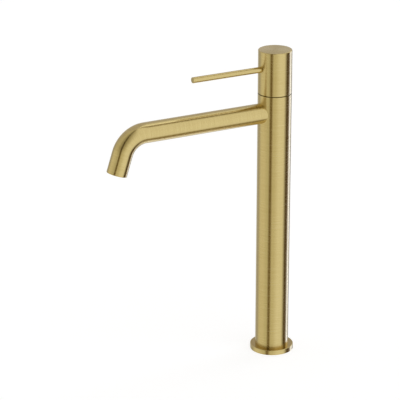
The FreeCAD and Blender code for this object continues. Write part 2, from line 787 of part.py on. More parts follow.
def fixed_disc():
    """Ceramic disc that stays still, lapped against the moving one."""
    return ported_disc("fixed_disc", "dim.fixed_disc_thickness", "dim.fixed_disc_z")


def port_seals():
    """Rubber rings between the ports of the cartridge and the floor of the valve body."""
    rings = []
    for name, x, y, bore in PORTS:
        mean = f"{bore} / 2 + dim.fit_gap + dim.port_ring / 2"
        level = "dim.floor_z + dim.port_ring / 2"
        rings.append(o_ring(f"{name}_port_ring", mean, "dim.port_ring", x, y, level))
    return group("port_seals", rings)


def moving_disc():
    """Ceramic disc that slides and turns, with the mixing recess in its lower face."""
    body = new_body("moving_disc")
    disc = new_sketch(body, "moving_disc_outline", "XY_Plane")
    circle(disc, "0", "0", "dim.moving_disc_od / 2")
    extrude(body, disc, "moving_disc_pad", "dim.moving_disc_thickness")
    for order, place in enumerate(("0", "dim.mixing_recess_length"), start=1):
        end = new_sketch(body, f"recess_end_{order}", "XY_Plane")
        circle(end, "0", place, "dim.mixing_recess_width / 2")
        pocket(body, end, f"recess_end_cut_{order}", "dim.mixing_recess_depth")
    middle = new_sketch(body, "recess_middle", "XY_Plane")
    half = "dim.mixing_recess_width / 2"
    outline(middle, ring_profile("-" + half, half, "0", "dim.mixing_recess_length"))
    pocket(body, middle, "recess_middle_cut", "dim.mixing_recess_depth")
    body.setExpression("Placement.Base.z", "dim.moving_disc_z")
    return body


def disc_carrier():
    """Slide on the moving disc, guided by the turret and pushed by the ball of the spindle."""
    body = new_body("disc_carrier")
    disc = new_sketch(body, "carrier_outline", "XY_Plane")
    circle(disc, "0", "0", "dim.moving_disc_od / 2")
    extrude(body, disc, "carrier_pad", "dim.carrier_height")
    flats = new_sketch(body, "carrier_flats", "XY_Plane")
    near = "dim.carrier_width / 2"
    far = "dim.moving_disc_od"
    outline(flats, ring_profile(near, far, "-" + far, far))
    outline(flats, ring_profile("-" + near, "-" + far, "-" + far, far))
    pocket(body, flats, "carrier_flat_cut", "dim.carrier_height")
    socket = new_sketch(body, "ball_socket", "XY_Plane", "dim.carrier_height")
    half = "(dim.ball_od / 2 + dim.run_gap)"
    outline(socket, ring_profile("-" + half, half, "-" + half, half))
    pocket(body, socket, "ball_socket_cut", "dim.carrier_height - dim.carrier_floor", back=True)
    body.setExpression("Placement.Base.z", "dim.carrier_z")
    return body


def turret():
    """Turning guide: rails for the carrier below, a slot for the spindle and its pin above."""
    pivot = "dim.pivot_z - dim.turret_z"
    collar_top = pivot + " + dim.housing_rise + dim.collar_rise"
    collar = "dim.turret_collar_od / 2"
    body = turned("turret", (
        ("0", "0"),
        ("dim.turret_radius", "0"),
        ("dim.turret_radius", "dim.turret_height"),
        (collar, "dim.turret_height"),
        (collar, collar_top),
        ("0", collar_top),
    ), "dim.turret_z")
    channel = new_sketch(body, "carrier_channel", "XY_Plane")
    half = "(dim.carrier_width / 2 + dim.run_gap)"
    end = "dim.cartridge_od"
    outline(channel, ring_profile("-" + half, half, "-" + end, end))
    pocket(body, channel, "carrier_channel_cut", "dim.carrier_height")
    slot = new_sketch(body, "spindle_slot", "YZ_Plane")
    outline(slot, (
        ("-dim.slot_half", pivot + " + dim.slot_top"),
        ("dim.slot_lean", pivot + " + dim.slot_top"),
        ("dim.slot_middle", pivot),
        ("dim.slot_half", "-dim.run_gap"),
        ("-dim.slot_foot", "-dim.run_gap"),
        ("-dim.slot_foot", pivot + " - dim.stem_foot"),
        ("-dim.slot_middle", pivot),
    ))
    pocket(body, slot, "spindle_slot_cut", "dim.slot_half * 2", both=True)
    bore = new_sketch(body, "pin_bore", "YZ_Plane")
    circle(bore, "0", pivot, "dim.pin_od / 2 + dim.fit_gap")
    pocket(body, bore, "pin_bore_cut", "dim.cartridge_od", both=True)
    return body


def pivot_pin():
    """Steel pin across the turret, on which the spindle tilts."""
    pin = doc.addObject("Part::Cylinder", "pivot_pin")
    pin.Label = "pivot_pin"
    half = "dim.turret_radius - dim.run_gap"
    along_x = FreeCAD.Rotation(FreeCAD.Vector(0, 1, 0), QUARTER_TURN)
    pin.Placement = FreeCAD.Placement(FreeCAD.Vector(), along_x)
    pin.setExpression("Radius", "dim.pin_od / 2")
    pin.setExpression("Height", f"2 * ({half})")
    pin.setExpression("Placement.Base.x", f"-({half})")
    pin.setExpression("Placement.Base.z", "dim.pivot_z")
    return pin


def spindle():
    """Square stem with a ball foot, drawn about its pivot."""
    body = new_body("spindle")
    stem = new_sketch(body, "stem_section", "XY_Plane", "-dim.stem_foot")
    half = "dim.stem_width / 2"
    outline(stem, ring_profile("-" + half, half, "-" + half, half))
    extrude(body, stem, "stem", "dim.spindle_top - dim.pivot_z + dim.stem_foot")
    neck = new_sketch(body, "neck_section", "XY_Plane", "-dim.foot_arm")
    circle(neck, "0", "0", "dim.neck_od / 2")
    extrude(body, neck, "neck", "dim.foot_arm - dim.stem_foot")
    ball = body.newObject("PartDesign::AdditiveSphere", "ball_foot")
    ball.setExpression("Radius", "dim.ball_od / 2")
    ball.setExpression("Placement.Base.z", "-dim.foot_arm")
    bore = new_sketch(body, "spindle_pin_bore", "YZ_Plane")
    circle(bore, "0", "0", "dim.pin_od / 2 + dim.fit_gap")
    pocket(body, bore, "spindle_pin_cut", "dim.stem_width", both=True)
    body.setExpression("Placement.Base.z", "dim.pivot_z")
    return body


def cartridge_nut():
    """Threaded ring with four spanner notches that clamps the cartridge."""
    body = turned("cartridge_nut", ring_profile(
        "dim.nut_bore / 2", "dim.nut_od / 2", "0", "dim.nut_height"), "dim.pivot_z + dim.housing_rise")
    notch = new_sketch(body, "spanner_notch", "XY_Plane", "dim.nut_height")
    half = "dim.nut_slot / 2"
    outline(notch, ring_profile("-" + half, half, "dim.nut_bore / 2 - dim.nut_slot", "dim.nut_od"))
    cut = pocket(body, notch, "spanner_notch_cut", "dim.nut_slot_depth", back=True)
    polar(body, cut, notch, "spanner_notches", NUT_NOTCHES)
    return body


def dome_ring():
    """Domed cover over the cartridge, level with the domed end of the column."""
    return turned("dome_ring", (
        ("dim.dome_inner", "dim.valve_top"),
        ("dim.dome_outer", "dim.valve_top"),
        ("dim.dome_outer", "dim.dome_outer_z"),
        ("dim.dome_mouth", "dim.dome_lip_z"),
        ("dim.dome_mouth", "dim.dome_lip_under_z"),
        ("dim.dome_inner", "dim.dome_inner_z"),
    ), arcs=(2, 4))


def handle_cap():
    """Hollow cap with a hub for the spindle and a boss for the lever, hollowed to ride over the dome."""
    body = turned("handle_cap", (
        ("dim.column_radius", "dim.bevel_z"),
        ("dim.column_radius", "dim.overall_height"),
        ("0", "dim.overall_height"),
        ("0", "dim.hub_z"),
        ("dim.hub_radius", "dim.hub_z"),
        ("dim.hub_radius", "dim.cavity_z"),
        ("dim.cap_bore", "dim.cavity_z"),
        ("dim.cap_bore", "dim.cap_bore_z"),
        ("dim.rim_radius", "dim.rim_z"),
    ), arcs=(7,))

    def top_rim(edge):
        ring = isinstance(edge.Curve, Part.Circle)
        return ring and edge.BoundBox.ZMin > present("dim.overall_height") - present("dim.cap_edge")

    soften(body, body.Tip, "cap_top_rounding", "dim.cap_edge", top_rim)
    boss = new_sketch(body, "lever_boss_section")
    circle(boss, "0", "dim.lever_z", "dim.lever_boss_od / 2")
    extrude(body, boss, "lever_boss", "dim.column_radius - dim.cap_wall / 2")
    socket = new_sketch(body, "spindle_socket", "XY_Plane", "dim.hub_z")
    half = "(dim.stem_width / 2 + dim.fit_gap)"
    outline(socket, ring_profile("-" + half, half, "-" + half, half))
    pocket(body, socket, "spindle_socket_cut", "dim.spindle_top + dim.run_gap - dim.hub_z")
    thread = new_sketch(body, "lever_thread_bore")
    circle(thread, "0", "dim.lever_z", "dim.lever_thread / 2")
    pocket(body, thread, "lever_thread_cut", "dim.column_radius")
    seat = new_sketch(body, "lever_seat_bore", "XZ_Plane", "dim.lever_shoulder")
    circle(seat, "0", "dim.lever_z", "dim.lever_od / 2 + dim.fit_gap")
    pocket(body, seat, "lever_seat_cut", "dim.lever_seat * 2")
    return body


def aim_at_lever(body):
    """Turn a sub-part drawn along Z so that it lies along the lever."""
    body.Placement = FreeCAD.Placement(
        FreeCAD.Vector(), FreeCAD.Rotation(FreeCAD.Vector(1, 0, 0), QUARTER_TURN))
    body.setExpression("Placement.Base.z", "dim.lever_z")
    return body


def lever_pin():
    """Thin round lever with a threaded spigot."""
    spigot = "dim.lever_thread / 2 - dim.fit_gap"
    rod = "dim.lever_od / 2"
    return aim_at_lever(turned("lever_pin", (
        ("0", "dim.lever_root"),
        (spigot, "dim.lever_root"),
        (spigot, "dim.lever_shoulder"),
        (rod, "dim.lever_shoulder"),
        (rod, "dim.lever_reach - dim.lever_tip"),
        (rod + " - dim.lever_tip", "dim.lever_reach"),
        ("0", "dim.lever_reach"),
    )))


def grub_screw():
    """Socket screw behind the lever that clamps the cap on the spindle."""
    body = new_body("grub_screw")
    shank = new_sketch(body, "grub_section", "XY_Plane", "dim.stem_width / 2")
    circle(shank, "0", "0", "dim.lever_thread / 2 - dim.fit_gap")
    head = "dim.lever_root - dim.run_gap"
    extrude(body, shank, "grub_shank", head + " - dim.stem_width / 2")
    key = new_sketch(body, "grub_key", "XY_Plane", head)
    corner = "dim.hex_key / sqrt(3)"
    side = "dim.hex_key / 2"
    outline(key, (
        (corner, "0"),
        (corner + " / 2", side),
        ("-" + corner + " / 2", side),
        ("-" + corner, "0"),
        ("-" + corner + " / 2", "-" + side),
        (corner + " / 2", "-" + side),
    ))
    pocket(body, key, "grub_key_cut", "dim.hex_depth", back=True)
    return aim_at_lever(body)


parts = [
    column_tube(),
    base_flange(),
    base_gasket(),
    base_block(),
    riser_tube("cold_riser_tube", "1"),
    riser_tube("hot_riser_tube", "-1"),
    riser_seals(),
    valve_body(),
    valve_seals(),
    spout_tube(),
    aerator_housing(),
    perforated("aerator_grille", "dim.grille_z", "dim.grille_thickness", "dim.jet_bore", JET_RINGS),
    perforated("aerator_screen", "dim.screen_z", "dim.screen_thickness", "dim.mesh_bore", MESH_RINGS),
    perforated("flow_regulator", "dim.regulator_z", "dim.regulator_thickness", "dim.jet_bore", JET_RINGS),
    aerator_seal(),
    cartridge_housing(),
    cartridge_base(),
    port_seals(),
    fixed_disc(),
    cartridge_nut(),
    dome_ring(),
    turret(),
    pivot_pin(),
    moving_disc(),
    disc_carrier(),
    spindle(),
    handle_cap(),
    lever_pin(),
    grub_screw(),
]

doc.recompute()
for item in doc.Objects:
    if "Invalid" in item.State or "Error" in item.State:
        raise RuntimeError(f"{item.Label} failed: {item.State}")
for part in parts:
    if part.Shape.isNull() or not part.Shape.isValid():
        raise RuntimeError(f"{part.Label} has no valid shape")

os.makedirs("parts", exist_ok=True)
for part in parts:
    part.Shape.exportStep(f"parts/{part.Label}.step")
    print(part.Label, round(part.Shape.Volume, 1), len(part.Shape.Solids))
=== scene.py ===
import json
import logging
import math
from dataclasses import dataclass, field
from enum import Enum
from functools import cache
from itertools import pairwise
from typing import Callable, Sequence

import bmesh
import bpy
from mathutils import Matrix, Vector


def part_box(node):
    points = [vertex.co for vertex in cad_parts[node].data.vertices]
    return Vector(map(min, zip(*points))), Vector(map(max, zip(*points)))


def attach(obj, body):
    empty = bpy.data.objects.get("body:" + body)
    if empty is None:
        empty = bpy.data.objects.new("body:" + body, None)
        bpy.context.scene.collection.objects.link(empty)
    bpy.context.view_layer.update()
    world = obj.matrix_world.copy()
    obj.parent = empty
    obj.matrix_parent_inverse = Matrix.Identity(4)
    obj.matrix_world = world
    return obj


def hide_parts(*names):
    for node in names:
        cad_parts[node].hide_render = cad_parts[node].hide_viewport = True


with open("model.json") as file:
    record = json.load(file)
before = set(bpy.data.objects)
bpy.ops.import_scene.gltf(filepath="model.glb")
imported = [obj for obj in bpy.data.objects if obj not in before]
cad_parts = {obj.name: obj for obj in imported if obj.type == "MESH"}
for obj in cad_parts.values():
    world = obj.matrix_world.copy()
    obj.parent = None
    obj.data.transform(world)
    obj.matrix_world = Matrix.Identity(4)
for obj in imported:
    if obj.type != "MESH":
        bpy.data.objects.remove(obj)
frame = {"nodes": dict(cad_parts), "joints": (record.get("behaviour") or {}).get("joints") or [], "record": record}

# Dressed scene of a tall basin mixer in brushed brass. Lengths are in metres, headings in degrees.
# The column stands on Z, the spout and the lever point to -Y.

LOG = logging.getLogger("basin_mixer")
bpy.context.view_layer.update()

# Mesh attribute with each point's place in the brush pattern; its third value runs across the lines.
GRAIN = "grain"

# Gap between two pieces that fit together.
FIT_GAP = 0.00005

# Share of a rounding's width within which a point counts as lying on the edge to round.
EDGE_SHARE = 0.1

RIGHT_ANGLE = 90
HALF_TURN = 180
FULL_TURN = 360
OPAQUE = 1.0
NOISE_MEAN = 0.5
EVEN_MIX = 0.5

Colour = tuple[float, float, float]
Point = tuple[float, float, float]
Corner = tuple[float, float]
Settings = dict[str, object]
Sockets = dict[int | str, object]


class Body(Enum):
    """Bodies of the mechanism that the new pieces ride on."""

    COLUMN = "column"
    HANDLE = "handle"


class Slot(Enum):
    """Material slots of the record."""

    BRUSHED_BRASS = "brushed_brass"
    PLAIN_BRASS = "plain_brass"
    SEAL_RUBBER = "seal_rubber"
    CARTRIDGE_PLASTIC = "cartridge_plastic"
    OUTLET_PLASTIC = "outlet_plastic"
    DISC_CERAMIC = "disc_ceramic"
    STAINLESS_STEEL = "stainless_steel"


class RingAxis(Enum):
    """Axis of a new ring, with the turn about X, Y and Z that sets a flat circle across it."""

    Z = (0.0, 0.0, 0.0)
    Y = (math.radians(RIGHT_ANGLE), 0.0, 0.0)


class Shade:
    """An output socket whose arithmetic adds Math nodes to its tree."""

    def __init__(self, graph: "Graph", socket: bpy.types.NodeSocket) -> None:
        """Wrap one output socket.

        Args:
            graph: Node tree that the socket belongs to.
            socket: Output to wrap.
        """
        self.graph = graph
        self.socket = socket

    def _math(self, operation: str, first: "Shade | float", second: "Shade | float" = 0.0) -> "Shade":
        """Add one Math node and return its result."""
        node = self.graph.node("ShaderNodeMath", {"operation": operation}, {0: first, 1: second})
        return Shade(self.graph, node.outputs[0])

    def __add__(self, other: "Shade | float") -> "Shade":
        """Sum."""
        return self._math("ADD", self, other)

    __radd__ = __add__

    def __sub__(self, other: "Shade | float") -> "Shade":
        """Difference."""
        return self._math("SUBTRACT", self, other)

    def __rsub__(self, other: float) -> "Shade":
        """Difference from a number."""
        return self._math("SUBTRACT", other, self)

    def __mul__(self, other: "Shade | float") -> "Shade":
        """Product."""
        return self._math("MULTIPLY", self, other)

    __rmul__ = __mul__

    def __truediv__(self, other: "Shade | float") -> "Shade":
        """Quotient."""
        return self._math("DIVIDE", self, other)

    def __rtruediv__(self, other: float) -> "Shade":
        """Quotient of a number."""
        return self._math("DIVIDE", other, self)

    def fraction(self) -> "Shade":
        """Part after the decimal point."""
        return self._math("FRACT", self)

    def angle_from(self, other: "Shade") -> "Shade":
        """Angle of the point (other, self) about the origin."""
        return self._math("ARCTAN2", self, other)


class Graph:
    """A node tree that is filled through one method."""

    ramp_end = 1.0

    # Numbers of a Mix node's colour sockets, whose names it uses for other types too.
    mix_factor = 0
    mix_first = 6
    mix_second = 7
    mix_result = 2

    def __init__(self, tree: bpy.types.NodeTree) -> None:
        """Empty a node tree.

        Args:
            tree: Tree of a material or a world.
        """
        self.tree = tree
        tree.nodes.clear()

    def node(self, kind: str, settings: Settings, sockets: Sockets) -> bpy.types.Node:
        """Add a node, set it up and feed its inputs.

        Args:
            kind: Type name of the node.
            settings: Attributes to set first; "stops" fills a colour ramp with (place, colour) pairs.
            sockets: Input names or numbers with a value, a Shade or an output socket each.

        Returns:
            The new node.
        """
        node = self.tree.nodes.new(kind)
        for name, value in settings.items():
            if name == "stops":
                self._fill_ramp(node.color_ramp, value)
            else:
                setattr(node, name, value)
        self.feed(node, sockets)
        return node

    def feed(self, node: bpy.types.Node, sockets: Sockets) -> None:
        """Set or link inputs of a node.

        Args:
            node: Node of this tree.
            sockets: Input names or numbers with a value, a Shade or an output socket each.
        """
        for name, value in sockets.items():
            entry = node.inputs[name]
            source = value.socket if isinstance(value, Shade) else value
            if isinstance(source, bpy.types.NodeSocket):
                self.tree.links.new(source, entry)
            elif isinstance(source, tuple) and len(source) != len(entry.default_value):
                entry.default_value = (*source, OPAQUE)
            else:
                entry.default_value = source

    def _fill_ramp(self, ramp: bpy.types.ColorRamp, stops: Sequence[tuple[float, Colour]]) -> None:
        """Give a colour ramp its stops.

        Args:
            ramp: New ramp.
            stops: Place and colour of each stop, in order.
        """
        while len(ramp.elements) < len(stops):
            ramp.elements.new(self.ramp_end)
        for element, (place, colour) in zip(ramp.elements, stops):
            element.position = place
            element.color = (*colour, OPAQUE)

    def shade(self, kind: str, settings: Settings, sockets: Sockets, output: int | str = 0) -> Shade:
        """Add a node and wrap one of its outputs."""
        return Shade(self, self.node(kind, settings, sockets).outputs[output])

    def place(self) -> bpy.types.NodeSocket:
        """Object coordinates of the piece."""
        return self.node("ShaderNodeTexCoord", {}, {}).outputs["Object"]

    def stretched(self, vector: object, scale: Point) -> bpy.types.NodeSocket:
        """Vector scaled along its own axes."""
        return self.node("ShaderNodeMapping", {}, {"Vector": vector, "Scale": scale}).outputs[0]

    def noise(self, vector: object, detail: float, scale: float = 1.0) -> Shade:
        """Noise over a vector, with NOISE_MEAN as its middle value."""
        sockets = {"Vector": vector, "Scale": scale, "Detail": detail}
        return self.shade("ShaderNodeTexNoise", {"noise_dimensions": "3D"}, sockets, "Fac")

    def blend(self, factor: Shade, first: object, second: object) -> bpy.types.NodeSocket:
        """Colour between two colours or colour sockets."""
        sockets = {self.mix_factor: factor, self.mix_first: first, self.mix_second: second}
        return self.node("ShaderNodeMix", {"data_type": "RGBA"}, sockets).outputs[self.mix_result]

    def relief(self, height: Shade, depth: float, strength: float) -> bpy.types.NodeSocket:
        """Normal of a surface with fine relief."""
        sockets = {"Strength": strength, "Distance": depth, "Height": height}
        return self.node("ShaderNodeBump", {}, sockets).outputs[0]


def new_material(name: str) -> tuple[bpy.types.Material, Graph]:
    """Make a material with an empty node tree.

    Args:
        name: Name of the material.

    Returns:
        The material and its tree.
    """
    material = bpy.data.materials.new(name)
    material.use_nodes = True
    return material, Graph(material.node_tree)


@dataclass(frozen=True)
class Finish:
    """A surface finish: one procedural material between two colours."""

    name: str
    colour: Colour
    shadow_colour: Colour
    roughness: float

    @cache
    def material(self) -> bpy.types.Material:
        """Make the material once.

        Returns:
            The finish as a material.
        """
        material, graph = new_material(self.name)
        shader = graph.node("ShaderNodeBsdfPrincipled", {}, {})
        self.wire(graph, shader)
        graph.node("ShaderNodeOutputMaterial", {}, {"Surface": shader.outputs[0]})
        return material

    def wire(self, graph: Graph, shader: bpy.types.Node) -> None:
        """Feed the shader; each kind of finish has its own way."""
        raise NotImplementedError


@dataclass(frozen=True)
class BrushedMetal(Finish):
    """Satin metal with fine brush lines round the piece, from the grain attribute of its mesh."""

    spread: float = 0.0
    spread_turn: float = 0.25
    stroke_length: float = 0.02
    line_pitch: float = 0.00035
    line_detail: float = 3.0
    line_share: float = 0.6
    line_depth: float = 0.000004
    line_strength: float = 0.4
    band_pitch: float = 0.0013
    band_detail: float = 2.0
    band_share: float = 1.2
    cloud_size: float = 0.025
    cloud_detail: float = 2.0
    cloud_share: float = 0.4
    streak_roughness: float = 0.1
    cloud_roughness: float = 0.04

    def wire(self, graph: Graph, shader: bpy.types.Node) -> None:
        """Brush lines in colour, roughness and bump, over slow cloudy variation.

        Args:
            graph: Tree of the shader.
            shader: Principled shader.
        """
        grain = graph.node("ShaderNodeAttribute", {"attribute_name": GRAIN}, {}).outputs["Vector"]
        lines = self.strokes(graph, grain, self.line_pitch, self.line_detail)
        bands = self.strokes(graph, grain, self.band_pitch, self.band_detail)
        cloud = graph.noise(graph.place(), self.cloud_detail, 1 / self.cloud_size) - NOISE_MEAN
        streak = lines * self.line_share + bands * self.band_share
        tone = streak + cloud * self.cloud_share + EVEN_MIX
        graph.feed(shader, {
            "Base Color": graph.blend(tone, self.shadow_colour, self.colour),
            "Roughness": self.roughness + streak * self.streak_roughness + cloud * self.cloud_roughness,
            "Normal": graph.relief(lines, self.line_depth, self.line_strength),
            "Metallic": 1.0,
            "Anisotropic": self.spread,
            "Anisotropic Rotation": self.spread_turn,
        })

    def strokes(self, graph: Graph, grain: bpy.types.NodeSocket, pitch: float, detail: float) -> Shade:
        """Noise about zero that is drawn out along the brush lines."""
        along = 1 / self.stroke_length
        return graph.noise(graph.stretched(grain, (along, along, 1 / pitch)), detail) - NOISE_MEAN


@dataclass(frozen=True)
class Mottled(Finish):
    """A finish with a fine pattern over a slow one; waves are counted per metre."""

    fine_share: float = 0.3
    slow_share: float = 0.7
    fine_roughness: float = 0.15
    slow_roughness: float = 0.1

    def mottle(self, graph: Graph, shader: bpy.types.Node, fine: Shade, slow: Shade) -> None:
        """Feed colour and roughness from the two patterns.

        Args:
            graph: Tree of the shader.
            shader: Principled shader.
            fine: Noise of the fine pattern.
            slow: Noise of the slow pattern.
        """
        tone = slow * self.slow_share + fine * self.fine_share
        fine_change = (fine - NOISE_MEAN) * self.fine_roughness
        slow_change = (slow - NOISE_MEAN) * self.slow_roughness
        graph.feed(shader, {
            "Base Color": graph.blend(tone, self.shadow_colour, self.colour),
            "Roughness": self.roughness + fine_change + slow_change,
        })


@dataclass(frozen=True)
class TurnedMetal(Mottled):
    """Bare machined metal with the rings of a lathe tool."""

    ring_pitch: float = 0.0006
    ring_waves: float = 60.0
    ring_detail: float = 2.0
    ring_depth: float = 0.00001
    ring_strength: float = 0.3
    stain_waves: float = 90.0
    stain_detail: float = 4.0

    def wire(self, graph: Graph, shader: bpy.types.Node) -> None:
        """Tool rings along Z over a slow stain.

        Args:
            graph: Tree of the shader.
            shader: Principled shader.
        """
        place = graph.place()
        stretch = (self.ring_waves, self.ring_waves, 1 / self.ring_pitch)
        rings = graph.noise(graph.stretched(place, stretch), self.ring_detail)
        stain = graph.noise(place, self.stain_detail, self.stain_waves)
        self.mottle(graph, shader, rings, stain)
        relief = graph.relief(rings, self.ring_depth, self.ring_strength)
        graph.feed(shader, {"Normal": relief, "Metallic": 1.0})


@dataclass(frozen=True)
class Moulded(Mottled):
    """Moulded plastic, rubber or fired ceramic with a fine skin."""

    skin_pitch: float = 0.0004
    skin_detail: float = 3.0
    skin_depth: float = 0.00002
    skin_strength: float = 0.4
    cloud_waves: float = 120.0
    cloud_detail: float = 3.0

    def wire(self, graph: Graph, shader: bpy.types.Node) -> None:
        """Fine skin with relief over a slow cloud.

        Args:
            graph: Tree of the shader.
            shader: Principled shader.
        """
        place = graph.place()
        skin = graph.noise(place, self.skin_detail, 1 / self.skin_pitch)
        cloud = graph.noise(place, self.cloud_detail, self.cloud_waves)
        self.mottle(graph, shader, skin, cloud)
        graph.feed(shader, {"Normal": graph.relief(skin, self.skin_depth, self.skin_strength)})


BRUSHED_BRASS = BrushedMetal(
    name="satin_brass",
    colour=(0.74, 0.595, 0.265),
    shadow_colour=(0.64, 0.50, 0.20),
    roughness=0.2475,
    spread=0.8,
)
TUBE_BRASS = BrushedMetal(
    name="tube_brass",
    colour=(0.74, 0.595, 0.265),
    shadow_colour=(0.64, 0.50, 0.20),
    roughness=0.18,
)
# Painted shade and painted reflection: a darker brass for the foot's upper ledge, standing in for the column's
# dark reflection and the shade round its foot.
PAINTED_LEDGE_SHADE = BrushedMetal(
    name="ledge_brass",
    colour=(0.57, 0.43, 0.17),
    shadow_colour=(0.49, 0.36, 0.125),
    roughness=0.18,
)
# Painted shade: a near-black brass on the column's domed end, which darkens the seam gap under the cap.
PAINTED_SEAM_SHADE = TurnedMetal(
    name="seam_brass",
    colour=(0.15, 0.105, 0.025),
    shadow_colour=(0.10, 0.07, 0.012),
    roughness=0.5,
)
FINISHES: dict[Slot, Finish] = {
    Slot.BRUSHED_BRASS: TurnedMetal(
        name="turned_brass",
        colour=(0.66, 0.52, 0.22),
        shadow_colour=(0.55, 0.42, 0.16),
        roughness=0.3,
    ),
    Slot.PLAIN_BRASS: TurnedMetal(
        name="machined_brass",
        colour=(0.70, 0.54, 0.26),
        shadow_colour=(0.52, 0.37, 0.15),
        roughness=0.38,
    ),
    Slot.SEAL_RUBBER: Moulded(
        name="soft_rubber",
        colour=(0.035, 0.034, 0.033),
        shadow_colour=(0.016, 0.016, 0.016),
        roughness=0.62,
    ),
    Slot.CARTRIDGE_PLASTIC: Moulded(
        name="white_plastic",
        colour=(0.62, 0.62, 0.60),
        shadow_colour=(0.52, 0.52, 0.50),
        roughness=0.42,
    ),
    Slot.OUTLET_PLASTIC: Moulded(
        name="grey_plastic",
        colour=(0.55, 0.56, 0.57),
        shadow_colour=(0.44, 0.45, 0.46),
        roughness=0.35,
    ),
    Slot.DISC_CERAMIC: Moulded(
        name="fired_ceramic",
        colour=(0.80, 0.79, 0.75),
        shadow_colour=(0.72, 0.71, 0.67),
        roughness=0.16,
    ),
    Slot.STAINLESS_STEEL: TurnedMetal(
        name="bright_steel",
        colour=(0.60, 0.59, 0.57),
        shadow_colour=(0.45, 0.44, 0.43),
        roughness=0.28,
    ),
}


class Modeller:
    """One new mesh, drawn ring by ring with the edit-mode tools."""

    sharp_angle = math.radians(35)
    merge_distance = 0.000001
    round_profile = 0.5

    def __init__(self, name: str, sides: int) -> None:
        """Name the piece that is about to be modelled.

        Args:
            name: Name of the object.
            sides: Number of points on each of its rings.
        """
        self.name = name
        self.sides = sides
        self.piece: bpy.types.Object | None = None

    def start_ring(self, radius: float, centre: Sequence[float], axis: RingAxis = RingAxis.Z) -> None:
        """Add an open circle and go into edit mode with it selected.

        Args:
            radius: Radius of the circle.
            centre: Its centre.
            axis: Axis that it lies across.
        """
        bpy.ops.object.select_all(action="DESELECT")
        bpy.ops.mesh.primitive_circle_add(
            vertices=self.sides, radius=radius, location=tuple(centre), rotation=axis.value)
        self.piece = bpy.context.object
        self.piece.name = self.name
        bpy.ops.object.transform_apply(location=True, rotation=True, scale=True)
        bpy.ops.object.mode_set(mode="EDIT")
        bpy.ops.mesh.select_all(action="SELECT")

    def extrude(self, shift: Sequence[float]) -> None:
        """Draw the selected ring out into a wall and leave the new ring selected."""
        bpy.ops.mesh.extrude_edges_move(TRANSFORM_OT_translate={"value": tuple(shift)})

    def resize(self, factor: float, centre: Sequence[float]) -> None:
        """Scale what is selected about a centre."""
        bpy.ops.transform.resize(value=(factor, factor, factor), center_override=tuple(centre))

    def ledge(self, factor: float, centre: Sequence[float]) -> None:
        """Draw the selected ring in or out into a flat ledge, by a factor about its centre."""
        self.extrude((0.0, 0.0, 0.0))
        self.resize(factor, centre)

    def spin(self, centre: Vector, angle: float, steps: int) -> None:
        """Draw the selected ring round a bend about a line along X."""
        bpy.ops.mesh.spin(steps=steps, angle=angle, center=centre, axis=(1.0, 0.0, 0.0))

    def turn_ring(self, corners: Sequence[Corner]) -> None:
        """Draw a ring about Z whose outline runs through corners and back to the first one.

        Args:
            corners: Radius and height of each corner.
        """
        radius, height = corners[0]
        self.start_ring(radius, (0.0, 0.0, height))
        self.draw_walls([*corners, corners[0]])

    def turn_block(self, corners: Sequence[Corner]) -> None:
        """Draw a block about Z whose outline runs through corners, with a face at both ends.

        Args:
            corners: Radius and height of each corner.
        """
        radius, height = corners[0]
        self.start_ring(radius, (0.0, 0.0, height))
        self.close_end()
        self.draw_walls(corners)
        self.close_end()

    def draw_walls(self, corners: Sequence[Corner]) -> None:
        """Draw walls about Z on from the selected ring.

        Args:
            corners: Radius and height of each ring, the selected one first.
        """
        for (radius, height), (new_radius, new_height) in pairwise(corners):
            self.extrude((0.0, 0.0, new_height - height))
            if new_radius != radius:
                self.resize(new_radius / radius, (0.0, 0.0, new_height))

    def close_end(self) -> None:
        """Close the selected ring with a face."""
        bpy.ops.mesh.edge_face_add()

    def close(self) -> None:
        """Merge doubled points and turn all faces outwards."""
        bpy.ops.mesh.select_all(action="SELECT")
        bpy.ops.mesh.remove_doubles(threshold=self.merge_distance)
        bpy.ops.mesh.normals_make_consistent(inside=False)

    def round_edges(self, width: float, steps: int, chosen: Callable[[Vector], bool]) -> None:
        """Bevel the edges whose two ends both pass a test.

        Args:
            width: Width of the bevel.
            steps: Faces across it.
            chosen: Test of a point's place.
        """
        mesh = bmesh.from_edit_mesh(self.piece.data)
        for item in (*mesh.verts, *mesh.edges, *mesh.faces):
            item.select_set(False)
        for edge in mesh.edges:
            if all(chosen(vertex.co) for vertex in edge.verts):
                edge.select_set(True)
        bmesh.update_edit_mesh(self.piece.data)
        bpy.ops.mesh.bevel(offset=width, segments=steps, profile=self.round_profile, affect="EDGES")

    def finish(self, finish: Finish, grain: Callable[[Vector], Point]) -> bpy.types.Object:
        """Leave edit mode, smooth the piece and give it its grain and finish.

        Args:
            finish: Finish of the whole piece.
            grain: Gives a point's place in the brush pattern.

        Returns:
            The finished piece.
        """
        bpy.ops.object.mode_set(mode="OBJECT")
        bpy.ops.object.shade_smooth_by_angle(angle=self.sharp_angle)
        bpy.ops.object.modifier_add(type="WEIGHTED_NORMAL")
        self.piece.modifiers[-1].keep_sharp = True
        bpy.ops.object.modifier_apply(modifier=self.piece.modifiers[-1].name)
        mesh = self.piece.data
        pattern = mesh.attributes.new(GRAIN, "FLOAT_VECTOR", "POINT")
        for vertex, entry in zip(mesh.vertices, pattern.data):
            entry.vector = grain(vertex.co)
        mesh.materials.append(finish.material())
        return self.piece


def half_width(node: str) -> float:
    """Half the size of a CAD node along X, which is the radius of a round one."""
    low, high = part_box(node)
    return (high.x - low.x) / 2


def joint_height(name: str) -> float:
    """Height of a joint's axis.

    Args:
        name: Name of the joint.

    Returns:
        The third coordinate of its place.
    """
    joint = next(joint for joint in frame["joints"] if joint["name"] == name)
    *_, height = joint["pos_m"]
    return height


def round_grain(point: Vector) -> Point:
    """Brush pattern of a piece turned about Z: lines run round it."""
    radius = math.hypot(point.x, point.y)
    return (point.x, point.y, point.z - radius)


